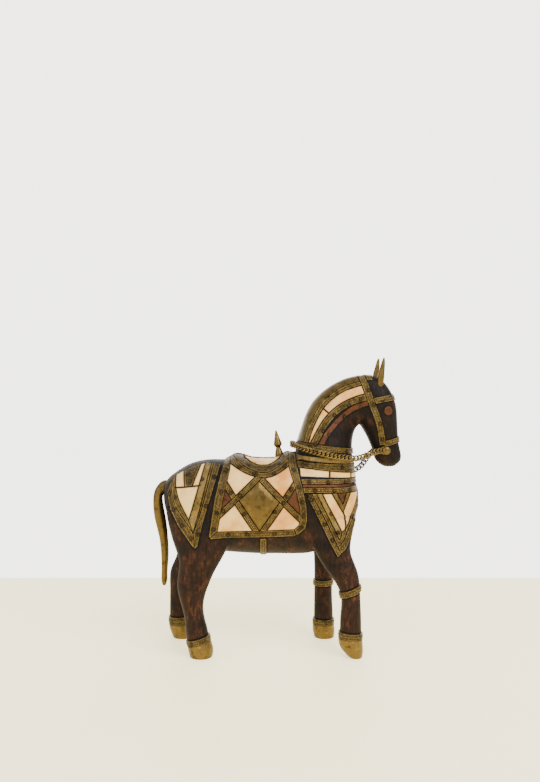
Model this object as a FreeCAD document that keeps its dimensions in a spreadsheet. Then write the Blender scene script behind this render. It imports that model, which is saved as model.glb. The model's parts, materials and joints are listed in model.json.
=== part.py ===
"""Carved wooden horse, a standing figurine trimmed with embossed brass, copper and bone.

Frame: the horse looks along +X, its left side is +Y, +Z is up. The origin is the middle of its
length and width, on the surface that its four hooves stand on. Millimetres.
"""
import FreeCAD, Part
import Sketcher
import math
import os
from FreeCAD import Placement, Rotation, Vector

doc = FreeCAD.newDocument("CarvedHorse")

# ---------------------------------------------------------------- driving dimensions
SIZES = [
    ("glue_line", 0.04, "between the wood and what is laid on it"),
    ("plate_thick", 0.75, "embossed strips and bone tiles, with their glue"),
    ("sheet_thick", 0.5, "plain brass and copper sheet, with its glue"),
    ("joint_gap", 0.6, "dark filler line between neighbouring pieces"),
    ("lattice_width", 3.0, "strips of the saddle cloth's lattice"),
    ("leg_offset", 21.5, "from the middle to the centre of each leg"),
    ("sleeve_wall", 0.8, "brass of the hoof sleeves"),
    ("band_wall", 0.9, "knee bands and hoof collars"),
    ("band_height", 3.3, "knee bands and hoof collars"),
    ("finial_foot", 3.0, "finial, radius of its flared foot"),
    ("finial_waist", 1.6, "finial, radius of its waist"),
    ("finial_bulb", 3.05, "finial, radius of its bulb"),
    ("finial_tip", 0.5, "finial, radius of its blunt tip"),
    ("finial_foot_top", 3.6, "finial, height of the foot's rim above its seat"),
    ("finial_waist_at", 8.0, "finial, height of the waist"),
    ("finial_bulb_at", 9.9, "finial, height of the bulb"),
    ("finial_tall", 20.0, "finial, height above its seat"),
    ("finial_sunk", 2.2, "finial, how deep its seat is cut into the saddle"),
    ("finial_lean", 8.0, "finial, backward lean in degrees"),
    ("tang_radius", 0.9, "tangs that hold the finial, the ears and the tail"),
    ("tang_depth", 6.0, "how deep those tangs go into the wood"),
    ("tang_room", 0.03, "radial clearance of the tangs in their holes"),
    ("stud_radius", 2.9, "bit stud, radius of its domed head"),
    ("stud_dome", 1.7, "bit stud, height of the dome"),
    ("stud_shank", 0.8, "bit stud, radius of its shank"),
    ("stud_stand", 3.0, "bit stud, room under the head for the chain"),
    ("stud_depth", 4.0, "bit stud, shank inside the wood"),
    ("eye_radius", 3.1, "copper eye disc"),
    ("eye_thick", 0.9, "copper eye disc"),
    ("eye_room", 0.5, "dark groove round the eye disc"),
    ("eye_sunk", 0.7, "how deep the eye disc's seat is cut"),
    ("eye_hole", 1.0, "hole in the eye disc for its nail"),
    ("nail_head", 0.75, "brass nail, radius of its domed head"),
    ("nail_dome", 0.4, "brass nail, height of the dome"),
    ("nail_shank", 0.3, "brass nail, radius of its shank"),
    ("nail_depth", 2.6, "brass nail, length under the head"),
    ("link_radius", 1.9, "chain link, from its middle to the middle of its wire"),
    ("hook_radius", 2.5, "ring that hooks on a bit stud, middle to middle of its wire"),
    ("hook_offset", 1.1, "how far the hooked ring hangs off the stud's middle"),
    ("hook_reach", 4.3, "from the stud's middle to the middle of the first link"),
    ("link_wire", 0.45, "chain link, radius of its wire"),
    ("link_pitch", 2.79, "chain link, from one to the next"),
]

sheet = doc.addObject("Spreadsheet::Sheet", "Dimensions")
for row, (alias, value, note) in enumerate(SIZES, start=1):
    sheet.set(f"A{row}", alias.replace("_", " "))
    sheet.set(f"B{row}", str(value))
    sheet.setAlias(f"B{row}", alias)
    sheet.set(f"C{row}", note)
doc.recompute()


def size(alias):
    return float(sheet.get(alias))


# Stations of the carving. Each has the two ends of its oval in the side view, and the oval's half width.
TORSO = [  # x, lowest z, highest z, half width
    (-78.5, 101, 113, 6.0),
    (-76.0, 92, 117, 13.5),
    (-71.0, 82, 121.2, 20.0),
    (-63.0, 75, 126.2, 24.5),
    (-52.0, 70, 129.6, 27.0),
    (-40.0, 67.5, 130.2, 28.0),
    (-34.0, 66.8, 130.8, 28.3),
    (-29.5, 66.4, 133.3, 28.5),
    (-20.0, 65.8, 131.7, 28.6),
    (-9.0, 65.4, 130.6, 28.6),
    (1.0, 65.4, 132.0, 28.2),
    (7.0, 65.2, 135.0, 27.8),
    (12.0, 65.2, 134.0, 27.2),
    (22.0, 65.8, 133.0, 26.0),
    (36.0, 71, 131.0, 24.0),
    (46.0, 77, 126.0, 20.0),
    (52.0, 85, 119.0, 13.5),
    (55.4, 95, 109.0, 6.0),
]
NECK = [  # crest point, throat point, half width
    ((10, 112), (53.4, 102), 20.4),
    ((11.5, 126), (54.0, 118.5), 20.6),
    ((13.5, 140), (52.3, 134), 19.4),
    ((17.5, 153), (52.5, 144.5), 16.5),
    ((25.5, 170.5), (54.5, 151.5), 13.2),
    ((41, 183.2), (57.5, 154.8), 11.2),
    ((59, 188.2), (64, 157), 10.6),
]
HEAD = [  # brow point, jaw point, half width
    ((60.5, 189.0), (54.5, 168.5), 8.8),
    ((67.0, 188.3), (57.0, 163.5), 9.6),
    ((73.5, 185.2), (57.5, 158), 10.6),
    ((79.3, 177.5), (57.8, 155.5), 11.8),
    ((82.7, 168.5), (59.5, 152), 11.9),
    ((83.7, 158), (62, 147.8), 10.6),
    ((84.2, 148.5), (65, 141.2), 8.8),
    ((85.2, 139.5), (67, 135.5), 8.0),
    ((86.5, 133.2), (68.0, 131.6), 8.1),
    ((85.2, 128.6), (71.0, 127.6), 6.8),
    ((81.6, 125.6), (75.2, 125.3), 3.2),
]
# Legs: back point, front point, half width, and how far the leg's middle stands from its usual offset.
LEGS = {
    "front_right": [
        ((22, 92), (53, 92), 7.0, -5.5),
        ((23, 80), (50.5, 80), 8.6, -4.0),
        ((26, 69), (49.3, 70), 8.3, -2.0),
        ((32.5, 58.5), (52.7, 60), 7.4, -0.5),
        ((40.5, 46.5), (55.2, 49), 6.8, 0),
        ((42.8, 39), (55.6, 41), 6.5, 0),
        ((42.3, 27), (56.1, 28), 6.7, 0),
        ((41.9, 15.5), (56.3, 15.5), 6.9, 0),
    ],
    "front_left": [
        ((20, 92), (52, 92), 7.0, -5.5),
        ((24, 80), (49.5, 80), 8.6, -4.0),
        ((26, 68), (45.5, 68), 8.3, -2.0),
        ((27, 57), (42, 57), 7.2, -0.5),
        ((27.2, 45), (40.4, 45), 6.7, 0),
        ((27.2, 36), (40.0, 36), 6.5, 0),
        ((27.1, 25), (40.2, 25), 6.6, 0),
        ((27.0, 15.5), (40.6, 15.5), 6.9, 0),
    ],
    "rear_right": [
        ((-75.5, 100), (-40, 97), 7.0, -4.5),
        ((-73.5, 88), (-32.5, 85), 9.3, -2.6),
        ((-69.5, 74.5), (-34.5, 71), 9.4, -1.6),
        ((-66, 62), (-41.3, 58.5), 8.3, -0.6),
        ((-67.2, 50), (-46.3, 47.5), 7.4, 0),
        ((-66.0, 40), (-49.3, 38), 6.9, 0),
        ((-62.6, 27), (-49.4, 28), 6.6, 0),
        ((-61.0, 12.5), (-46.6, 16.5), 6.9, 0),
    ],
    "rear_left": [
        ((-76.0, 100), (-42, 97), 7.0, -4.5),
        ((-75.0, 88), (-39, 85), 9.3, -2.6),
        ((-73.0, 74.5), (-43, 71), 9.4, -1.6),
        ((-72.5, 60), (-50, 58), 8.3, -0.6),
        ((-77.2, 48), (-56.5, 45.5), 7.4, 0),
        ((-77.6, 38), (-61.5, 36.5), 6.9, 0),
        ((-77.6, 26), (-64.0, 26.5), 6.6, 0),
        ((-77.6, 14), (-63.5, 15.5), 6.9, 0),
    ],
}
# Hooves, the wooden core inside each sleeve: back point, front point, half width.
HOOVES = {
    "front_right": [
        ((41.9, 15.5), (56.3, 15.5), 6.9), ((42.3, 8), (56.4, 8.6), 7.0),
        ((45.3, 3.2), (56.6, 3.4), 6.9), ((48.6, 0), (56.0, 0), 6.0)],
    "front_left": [
        ((27.0, 15.5), (40.6, 15.5), 6.9), ((26.8, 9), (40.7, 9), 7.0),
        ((27.2, 3), (41.0, 3), 7.2), ((28.0, 0), (40.6, 0), 6.9)],
    "rear_right": [
        ((-61.0, 12.5), (-46.6, 16.5), 6.9), ((-59.6, 7), (-45.1, 9.5), 7.2),
        ((-58.6, 2.6), (-43.9, 3.2), 7.6), ((-57.9, 0), (-44.6, 0), 7.2)],
    "rear_left": [
        ((-77.6, 14), (-63.5, 15.5), 6.9), ((-77.2, 8), (-62.4, 9), 7.2),
        ((-75.6, 2.8), (-61.4, 3), 7.4), ((-74.4, 0), (-62.0, 0), 6.9)],
}
OVAL_POINTS = 16
ROUND, SQUARISH = 2.0, 2.35  # exponents of the ovals


# ---------------------------------------------------------------- the carving
def interpolated(points, parameters, periodic):
    curve = Part.BSplineCurve()
    curve.interpolate(Points=points, Parameters=parameters, PeriodicFlag=periodic)
    return curve


def oval(back, front, half_width, offset, exponent, growth):
    """Points of one station's oval, in the plane of the station, grown outward."""
    centre = (back + front) * 0.5
    along = front - back
    half_length = along.Length / 2 + growth
    along.normalize()
    across = Vector(0, 1, 0)
    points = []
    for index in range(OVAL_POINTS):
        angle = 2 * math.pi * index / OVAL_POINTS
        c = math.cos(angle)
        s = math.sin(angle)
        u = math.copysign(abs(c) ** (2 / exponent), c) * half_length
        v = math.copysign(abs(s) ** (2 / exponent), s) * (half_width + growth)
        points.append(centre + along * u + across * (v + offset))
    return points


def carving(stations, exponent, growth):
    """Smooth solid through a row of oval stations (back, front, half width, offset), ends included."""
    rows = [oval(*station, exponent, growth) for station in stations]
    centres = [(station[0] + station[1]) * 0.5 for station in stations]
    if growth:
        for end, inner in ((0, 1), (-1, -2)):
            outward = centres[end] - centres[inner]
            normal = (stations[end][1] - stations[end][0]).cross(Vector(0, 1, 0))
            normal.normalize()
            shift = normal * math.copysign(growth, normal.dot(outward))
            rows[end] = [point + shift for point in rows[end]]
    along = [0.0]
    for first, second in zip(centres, centres[1:]):
        along.append(along[-1] + max((second - first).Length, 2.0))
    around = [float(index) for index in range(OVAL_POINTS + 1)]
    rails = [interpolated([row[index] for row in rows], along, False) for index in range(OVAL_POINTS)]
    rings = []
    for index in range(rails[0].NbPoles):
        rings.append(interpolated([rail.getPole(index + 1) for rail in rails], around, True))
    surface = Part.BSplineSurface()
    surface.buildFromPolesMultsKnots(
        [ring.getPoles() for ring in rings],
        rails[0].getMultiplicities(), rings[0].getMultiplicities(),
        rails[0].getKnots(), rings[0].getKnots(),
        False, True, rails[0].Degree, rings[0].Degree)
    side = surface.toShape()
    caps = []
    for edge in side.Edges:
        if edge.isClosed():
            caps.append(Part.Face(Part.Wire([edge])))
    shell = Part.Shell([side] + caps)
    shell.sewShape()
    solid = Part.Solid(shell)
    if solid.Volume < 0:
        solid.reverse()
    return solid


def stations_of(rows, offset=0.0):
    result = []
    for row in rows:
        back, front, half_width = row[0], row[1], row[2]
        inward = row[3] if len(row) > 3 else 0.0
        centre_y = math.copysign(abs(offset) + inward, offset) if offset else 0.0
        result.append((Vector(back[0], 0, back[1]), Vector(front[0], 0, front[1]), half_width, centre_y))
    return result


TORSO_ROWS = [((x, low), (x, high), half_width) for x, low, high, half_width in TORSO]
LEG_NAMES = ["front_right", "front_left", "rear_right", "rear_left"]


def leg_rows(name, growth):
    """A leg from inside the body down to the wooden sole, which ends a sleeve's thickness above the floor."""
    side = -1 if name.endswith("right") else 1
    rows = LEGS[name] + HOOVES[name][1:]
    sole = size("sleeve_wall") + size("glue_line")
    lifted = [(row[0], row[1]) + tuple(row[2:]) for row in rows[:-1]]
    back, front, half_width = rows[-1]
    lifted.append(((back[0], sole), (front[0], sole), half_width))
    return carving(stations_of(lifted, side * size("leg_offset")), ROUND, growth)


def carved(growth):
    """The whole carving, grown outward."""
    solids = [carving(stations_of(TORSO_ROWS), SQUARISH, growth)]
    solids.append(carving(stations_of(NECK), ROUND, growth))
    solids.append(carving(stations_of(HEAD), SQUARISH, growth))
    solids += [leg_rows(name, growth) for name in LEG_NAMES]
    return solids[0].fuse(solids[1:])


# ---------------------------------------------------------------- outlines, drawn in the side view
FAR = 45.0  # beyond the widest part of the horse
GAP = size("joint_gap")


def flat(points):
    """Face bounded by straight lines, in the horse's middle plane."""
    corners = [Vector(x, 0, z) for x, z in points]
    return Part.Face(Part.makePolygon(corners + [corners[0]]))


def curve_through(points):
    curve = Part.BSplineCurve()
    curve.interpolate([Vector(x, 0, z) for x, z in points])
    return curve


def strip(points, width):
    """Face of even width along a centre line; three or more points make a smooth curve."""
    half = width / 2
    if len(points) == 2:
        (x1, z1), (x2, z2) = points
        length = math.hypot(x2 - x1, z2 - z1)
        dx = -(z2 - z1) / length * half
        dz = (x2 - x1) / length * half
        return flat([(x1 + dx, z1 + dz), (x2 + dx, z2 + dz), (x2 - dx, z2 - dz), (x1 - dx, z1 - dz)])
    middle = curve_through(points)
    left = []
    right = []
    steps = 2 * len(points)
    for index in range(steps + 1):
        at = middle.FirstParameter + (middle.LastParameter - middle.FirstParameter) * index / steps
        tangent = middle.tangent(at)[0]
        aside = Vector(-tangent.z, 0, tangent.x) * half
        left.append(middle.value(at) + aside)
        right.append(middle.value(at) - aside)
    left_edge = Part.BSplineCurve()
    left_edge.interpolate(left)
    right_edge = Part.BSplineCurve()
    right_edge.interpolate(right)
    ends = [Part.makeLine(left[-1], right[-1]), Part.makeLine(right[0], left[0])]
    return Part.Face(Part.Wire(Part.__sortEdges__([left_edge.toShape(), right_edge.toShape()] + ends)))


def seam(points):
    """The thin filler line that parts two pieces."""
    return strip(points, GAP)


def pieces(region, cuts):
    """The faces that are left of a region when others are cut out of it."""
    return region.cut(cuts).Faces


def nearest(faces, seeds):
    """The faces that hold the given points."""
    found = []
    for x, z in seeds:
        spot = Part.Vertex(Vector(x, 0, z))
        face = min(faces, key=lambda item: item.distToShape(spot)[0])
        if not any(face.isSame(other) for other in found):
            found.append(face)
    return found


def prism(face, side, inner=0.2):
    """The outline carried outward to one side of the horse, or through both when side is 0."""
    if side == 0:
        moved = face.translated(Vector(0, -FAR, 0))
        return moved.extrude(Vector(0, 2 * FAR, 0))
    moved = face.translated(Vector(0, side * inner, 0))
    return moved.extrude(Vector(0, side * (FAR - inner), 0))


wood = carved(0.0)
wood_glued = carved(size("glue_line"))
plate_top = carved(size("glue_line") + size("plate_thick"))
plate_skin = plate_top.cut(wood_glued)
sheet_skin = carved(size("glue_line") + size("sheet_thick")).cut(wood_glued)

nodes = {}


def add_node(name, shape):
    """A fixed shape as a document object of its own, named in its label."""
    feature = doc.addObject("Part::Feature", name)
    feature.Label = name
    feature.Shape = shape
    feature.Placement = Placement()
    nodes[name] = feature
    return feature


def laid(faces, side, skin, inner=0.2):
    """Plates bent over the carving: the outlines' prisms within a skin."""
    solids = []
    for face in faces:
        cut = skin.common(prism(face, side, inner))
        if any(solid.Volume > 8 * face.Area for solid in cut.Solids):
            raise ValueError("a plate came out far thicker than its sheet")
        solids += [solid for solid in cut.Solids if solid.Volume > 0.4]
    return solids


def both_sides(faces, skin, inner=0.2):
    return laid(faces, -1, skin, inner) + laid(faces, 1, skin, inner)


# ---------------------------------------------------------------- neck base: the collar

def tilted(top, bottom):
    """A straight band right round the neck; each edge is given by its heights at x 12 and at x 52."""
    corners = []
    for (near, far), ends in ((top, (4.0, 62.0)), (bottom, (62.0, 4.0))):
        corners += [(x, near + (far - near) * (x - 12) / 40.0) for x in ends]
    return flat(corners)


band_top = tilted((143.4, 138.4), (139.9, 134.9))
band_a = tilted((134.6, 131.1), (131.4, 128.2))
band_b = tilted((130.2, 127.8), (126.9, 122.6))
tile_ring = tilted((126.5, 122.2), (120.9, 118.8))
band_c = tilted((119.0, 118.4), (116.0, 115.5))
copper_ring = tilted((115.6, 115.1), (113.9, 113.4))
band_d = tilted((113.5, 113.0), (110.2, 109.7))
ahead_of_saddle = flat([(12.9, 133.5), (13.4, 130), (15.8, 120), (18.2, 108), (64, 108), (64, 133.5)])
tile_cuts = [
    seam([(35.2, 130), (35.0, 112)]), seam([(14.4, 130), (15.9, 112)]), seam([(50.2, 130), (50.2, 112)])]
add_node("collar_band_1", Part.makeCompound(laid([band_top], 0, plate_skin)))
ahead_of_withers = flat([(13.1, 137), (64, 137), (64, 125), (13.1, 125)])
add_node("collar_band_2", Part.makeCompound(laid([band_a.common(ahead_of_withers)],
                                                 0, plate_skin)))
add_node("collar_band_3", Part.makeCompound(laid([band_b.common(ahead_of_saddle)], 0, plate_skin)))
add_node("collar_bone", Part.makeCompound(laid(pieces(tile_ring.common(ahead_of_saddle), tile_cuts),
                                               0, plate_skin)))
add_node("collar_band_4", Part.makeCompound(laid(
    [band_c.common(ahead_of_saddle), band_d.common(ahead_of_saddle)], 0, plate_skin)))
add_node("collar_copper", Part.makeCompound(laid([copper_ring.common(ahead_of_saddle)], 0, sheet_skin)))

# ---------------------------------------------------------------- bridle
CHEEK = [(56.6, 194), (58.8, 187), (62.5, 176.5), (65.7, 166.9), (69.9, 155), (72.2, 143.6), (72.6, 140.9)]
BROW = [(66.2, 171.1), (80, 173.7), (90, 175.6)]
NOSE = [(73.9, 141.5), (84, 144.3), (92, 146.5)]
cheek_room = strip(CHEEK, 4.0 + 2 * GAP)
add_node("cheek_strap", Part.makeCompound(laid([strip(CHEEK, 4.0)], 0, plate_skin)))
add_node("browband", Part.makeCompound(laid(pieces(strip(BROW, 4.0), [cheek_room])[-1:], 0, plate_skin)))
add_node("noseband", Part.makeCompound(laid([strip(NOSE, 3.6).cut(cheek_room)], 0, plate_skin)))

# ---------------------------------------------------------------- neck
CREST = [(9.5, 133), (12.9, 139.4), (16.4, 150), (21.3, 161.6), (27.2, 171.2), (35.4, 179), (43.6, 184),
         (50.7, 186.7), (58, 188.6), (66, 189.2)]
BONE_OUTER = [(19.2, 141), (20.4, 145), (22.8, 152.5), (28.8, 162.2), (34, 169), (40.6, 175), (48.7, 180),
              (57.6, 182.1), (62, 182.4)]
ARC = [(23.6, 139), (24.9, 142), (27.8, 147.6), (32.1, 155), (37.6, 161.8), (43.7, 166.7), (51.1, 170.6),
       (60.3, 173.5), (64, 174)]
COPPER_ARC = [(28.4, 139), (29.6, 141.5), (33.9, 149), (38.2, 154.2), (43.1, 159.5), (48.7, 163.9),
              (55.4, 167.6), (61, 169.3), (65, 170)]


def offset_line(points, distance):
    """A smooth line beside another one, to its right when followed from first to last."""
    line = curve_through(points)
    result = []
    for index in range(2 * len(points)):
        at = line.FirstParameter + (line.LastParameter - line.FirstParameter) * index / (2 * len(points) - 1)
        tangent = line.tangent(at)[0]
        spot = line.value(at) + Vector(tangent.z, 0, -tangent.x) * distance
        result.append((spot.x, spot.z))
    return result


collar_room = tilted((143.4 + GAP, 138.4 + GAP), (120, 116))
crest_cap = strip(offset_line(CREST, -1.2), 9.6)
crest_room = strip(offset_line(CREST, -1.2), 9.6 + 2 * GAP)
edge_line = offset_line(CREST, 5.1)
edge_strip = strip(edge_line, 2.3)
edge_room = strip(edge_line, 2.3 + 2 * GAP)
arc_strip = strip(ARC, 4.0)
arc_room = strip(ARC, 4.0 + 2 * GAP)
bone_arc = flat(BONE_OUTER + [(x, z) for x, z in reversed(ARC)])
neck_trim = [cheek_room, collar_room]
bone_split = seam([(29.0, 168.0), (38.0, 160.5)])


def behind_cheek(face, seed):
    return nearest(pieces(face, neck_trim), [seed])


add_node("mane_cap", Part.makeCompound(laid(behind_cheek(crest_cap, (19, 160)), 0, sheet_skin)))
add_node("neck_edge", Part.makeCompound(both_sides(behind_cheek(edge_strip, (26, 163)), plate_skin)))
copper_arc = behind_cheek(strip(COPPER_ARC, 3.3), (38, 154))
add_node("neck_copper", Part.makeCompound(both_sides(copper_arc, sheet_skin)))
neck_bone = nearest(pieces(bone_arc, neck_trim + [arc_room, edge_room, crest_room, bone_split]),
                    [(25, 152), (45, 173)])
neck_arc = behind_cheek(arc_strip, (32, 155))
for hand, side in (("right", -1), ("left", 1)):
    add_node(f"neck_bone_{hand}", Part.makeCompound(laid(neck_bone, side, plate_skin)))
    add_node(f"neck_arc_{hand}", Part.makeCompound(laid(neck_arc, side, plate_skin)))

# ---------------------------------------------------------------- chest panel
CHEST_TOP = 109.3
chest_outer = [(20.2, CHEST_TOP), (20.4, 106.5), (24.6, 98.6), (29.4, 88.8), (34.3, 78.6), (39.9, 67.9),
               (45.6, 72.9), (48.8, 79.2), (51.4, 86.2), (54.0, 95.0), (58, 103), (58, CHEST_TOP)]
chest = flat(chest_outer)
LEFT_SEAMS = [
    [(22.3, 110.5), (27.0, 101.3), (33.5, 88.5), (37.0, 81.0), (40.2, 74.2), (43.8, 67.5)],
    [(25.6, 110.5), (29.0, 103.2), (35.0, 91.5), (38.6, 84.3), (41.3, 78.5)],
    [(29.4, 110.5), (31.9, 105.0), (37.8, 93.8), (42.0, 85.6), (42.9, 83.6)],
]
RIGHT_SEAMS = [
    [(40.2, 74.2), (43.5, 77.5), (47.5, 86.0), (51.0, 93.0), (54.0, 100.0), (58.0, 106.0)],
    [(42.9, 83.6), (45.2, 85.3), (48.6, 91.5), (51.6, 98.0), (54.0, 104.0), (56.0, 112.0)],
    [(41.3, 78.5), (42.4, 81.0), (42.9, 83.6)],
]
heart = [(35.9, 110.5), (43.9, 96.6), (49.6, 110.5)]
heart_inner = [(39.2, 110.5), (44.0, 101.6), (47.0, 110.5)]
chest_cuts = [seam(line) for line in LEFT_SEAMS + RIGHT_SEAMS]
chest_cuts += [seam(heart[:2]), seam(heart[1:]), seam(heart_inner[:2]), seam(heart_inner[1:])]
chest_cuts.append(seam([(43.8, 97.4), (45.5, 91.0), (45.3, 84.6)]))
chest_faces = pieces(chest, chest_cuts)
chest_bone = nearest(chest_faces, [(37, 99), (49.3, 100)])
chest_copper = nearest(chest_faces, [(43.7, 107)])
chest_strips = [face for face in chest_faces
                if not any(face.isSame(other) for other in chest_bone + chest_copper)]
add_node("chest_copper", Part.makeCompound(both_sides(chest_copper, sheet_skin, 0.5)))
for hand, side in (("right", -1), ("left", 1)):
    add_node(f"chest_strips_{hand}", Part.makeCompound(laid(chest_strips, side, plate_skin, 0.5)))
    add_node(f"chest_bone_{hand}", Part.makeCompound(laid(chest_bone, side, plate_skin, 0.5)))

# ---------------------------------------------------------------- rump panel
rump = flat([
    (-54.9, 73.6), (-60.1, 80.5), (-66.1, 88.8), (-72, 99.3), (-74.3, 109.2), (-72.7, 114.5), (-69.4, 120.4),
    (-63.4, 124.0), (-56.2, 127.0), (-48.3, 129.0), (-38.7, 128.2), (-43, 112.5), (-49.6, 90.7),
    (-53.2, 75.0)])
RUMP_SEAMS = [
    [(-59.0, 91.9), (-62.4, 97.8), (-66.3, 105.8), (-68.3, 112.5), (-69.0, 121.5)],
    [(-56.0, 83.4), (-63.0, 93.6), (-69.1, 102.6), (-71.1, 110.5), (-71.0, 119.5)],
    [(-59.0, 91.9), (-56.3, 100.7), (-52.4, 114.5), (-48.7, 129.5)],
    [(-56.0, 83.4), (-51.9, 98.5), (-48.2, 113.4), (-44.6, 129.5)],
    [(-56.0, 83.4), (-50.9, 98.0), (-47.0, 112.6), (-43.2, 129.5)],
    [(-55.2, 73.0), (-56.0, 83.4), (-59.0, 91.9)],
    [(-70.0, 112.7), (-51.0, 115.0)],
    [(-61.9, 113.3), (-63.6, 124.6)],
    [(-57.2, 114.0), (-52.0, 128.6)],
]
rump_faces = pieces(rump, [seam(line) for line in RUMP_SEAMS])
rump_bone = nearest(rump_faces, [(-65.6, 118), (-53.3, 120), (-60, 105)])
rump_strips = [face for face in rump_faces if not any(face.isSame(other) for other in rump_bone)]
for hand, side in (("right", -1), ("left", 1)):
    add_node(f"rump_strips_{hand}", Part.makeCompound(laid(rump_strips, side, plate_skin, 3.0)))
    add_node(f"rump_bone_{hand}", Part.makeCompound(laid(rump_bone, side, plate_skin, 3.0)))

# ---------------------------------------------------------------- saddle cloth
frame_outer = flat([
    (-35.7, 131.5), (-41.7, 106), (-45.4, 82), (-44.4, 79.9), (10, 81.3), (14.3, 82.8), (18.4, 86.6),
    (19.6, 92), (19.2, 100.6), (17, 111.6), (14.9, 119.7), (12.6, 129.8), (12.0, 136), (-35.7, 136)])
frame_inner = flat([
    (-32.1, 131.5), (-32.3, 125.7), (-35.1, 112.5), (-40.5, 83.9), (11.4, 85.5), (14.6, 88.6), (15.4, 92.5),
    (15, 100), (13, 110), (10.5, 119), (8.1, 126.9), (7.6, 137), (-32.1, 137)])
frame_inner_room = flat([
    (-31.75, 131.5), (-31.95, 125.6), (-34.75, 112.4), (-40.05, 84.25), (11.2, 85.85), (14.3, 88.8),
    (15.05, 92.5), (14.65, 100), (12.65, 109.9), (10.15, 118.9), (7.75, 126.8), (7.25, 137), (-31.75, 137)])
LATTICE = {
    "a": [(-9.0, 123.5), (-42, 92.6)],
    "b": [(-37, 119.3), (-11.6, 81.2)],
    "c": [(-14.5, 122.8), (17, 91.0)],
    "d": [(13.6, 118.4), (-12.4, 81.1)],
}
CRESCENT_LOW = [(-33, 129.6), (-29.8, 127.9), (-22.5, 123.6), (-15.3, 120.9), (-8.7, 119.9), (-2.1, 121.5),
                (7.1, 127.4), (10, 129.8)]
CRESCENT_MID = [(-34, 136.5), (-26.5, 130.6), (-20.5, 126.3), (-14.5, 123.9), (-8.7, 123.1), (-2.9, 124.7),
                (4.2, 129.6), (10.5, 135.5)]
CRESCENT_TOP = [(-28, 139), (-23.4, 133.2), (-18.6, 129.9), (-13.3, 127.8), (-8.7, 127.3), (-2.8, 129.0),
                (1.2, 131.6), (6.8, 139)]
lattice_width = size("lattice_width")
lattice = {name: strip(line, lattice_width) for name, line in LATTICE.items()}
room = {name: strip(line, lattice_width + 2 * GAP) for name, line in LATTICE.items()}
below = nearest(pieces(frame_inner_room, [seam(CRESCENT_LOW)]), [(-12, 100)])[0]
tiles = pieces(below, list(room.values()))
lattice_a = lattice["a"].common(below)
lattice_c = lattice["c"].common(below).cut([room["a"]])
lattice_b = lattice["b"].common(below).cut([room["a"], room["c"]])
lattice_d = lattice["d"].common(below).cut([room["a"], room["c"], room["b"]])
lattice_faces = lattice_a.Faces + lattice_b.Faces + lattice_c.Faces + lattice_d.Faces
saddle_diamond = nearest(tiles, [(-12, 101)])
saddle_copper = nearest(tiles, [(-35.2, 106.5), (11, 105.5)])
saddle_bone = nearest(tiles, [(-28, 119), (3, 118), (-30, 90), (3, 92)])
upper = pieces(frame_inner_room, [seam(line) for line in (CRESCENT_LOW, CRESCENT_MID, CRESCENT_TOP)])
crescents = nearest(upper, [(-9, 121.5), (-9, 125.2)])
seat = nearest(upper, [(-9, 131.5)])
corner_seams = [
    seam([(-40.0, 84.6), (-46, 79.3)]), seam([(10.9, 86.6), (13.2, 80)]),
    seam([(-36.6, 126.0), (-31.5, 125.0)])]
frame_faces = pieces(frame_outer.cut([frame_inner]), corner_seams)
seat_room = 2.2 + GAP  # from the middle plane, clear of the ridge strip
cloth_room = 2.65  # likewise for the frame and the crescents
for hand, side in (("right", -1), ("left", 1)):
    add_node(f"saddle_frame_{hand}", Part.makeCompound(laid(frame_faces, side, plate_skin, cloth_room)))
    add_node(f"saddle_lattice_{hand}", Part.makeCompound(laid(lattice_faces, side, plate_skin)))
    add_node(f"saddle_bone_{hand}", Part.makeCompound(laid(saddle_bone, side, plate_skin)))
add_node("saddle_diamond", Part.makeCompound(both_sides(saddle_diamond, sheet_skin)))
add_node("saddle_copper", Part.makeCompound(both_sides(saddle_copper, sheet_skin)))
add_node("saddle_crescent", Part.makeCompound(both_sides(crescents, plate_skin, cloth_room)))
add_node("saddle_seat", Part.makeCompound(both_sides(seat, plate_skin, seat_room)))
girth = flat([(-11.5, 79.4), (-7.5, 79.5), (-7.5, 55), (-11.5, 55)])
add_node("girth_strap", Part.makeCompound(laid([girth], 0, plate_skin)))
ridge_box = Part.makeBox(45.5, 4.4, 20, Vector(-35.5, -2.2, 122))
add_node("saddle_ridge", Part.makeCompound(plate_skin.common(ridge_box).Solids))

# ---------------------------------------------------------------- hooves and legs
SLEEVES = {  # top line of the brass sleeve (back, front), then top line of the collar above it
    "front_right": [((30, 13.0), (70, 11.0)), ((30, 17.7), (70, 15.0))],
    "front_left": [((14, 9.2), (54, 9.2)), ((14, 13.6), (54, 13.3))],
    "rear_right": [((-66, 5.4), (-40, 12.4)), ((-66, 9.4), (-40, 16.6))],
    "rear_left": [((-84, 8.6), (-58, 10.0)), ((-84, 14.6), (-58, 15.8))],
}
KNEES = {"front_right": [(38, 39.8), (60, 47.6)], "front_left": [(20, 39.2), (46, 39.9)]}
for leg in LEG_NAMES:
    side = -1 if leg.endswith("right") else 1
    core = leg_rows(leg, size("glue_line"))
    sleeve_skin = leg_rows(leg, size("glue_line") + size("sleeve_wall")).cut(core)
    collar_skin = leg_rows(leg, size("glue_line") + size("band_wall")).cut(core)
    (back, front), (back_top, front_top) = SLEEVES[leg]
    low = flat([(back[0], -2), (front[0], -2), front, back])
    step = GAP / 2
    collar = flat([(back[0], back[1] + step), (front[0], front[1] + step), front_top, back_top])
    add_node(f"hoof_sleeve_{leg}", Part.makeCompound(laid([low], side, sleeve_skin)))
    add_node(f"hoof_collar_{leg}", Part.makeCompound(laid([collar], side, collar_skin)))
    if leg in KNEES:
        knee = strip(KNEES[leg], size("band_height") + 0.6)
        add_node(f"knee_band_{leg}", Part.makeCompound(laid([knee], side, collar_skin)))

# ---------------------------------------------------------------- ears, tail, finial
def bind(target, values):
    """Each value is the sheet's expression for one of the object's own sizes."""
    for name, expression in values.items():
        target.setExpression(name, expression)


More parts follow.
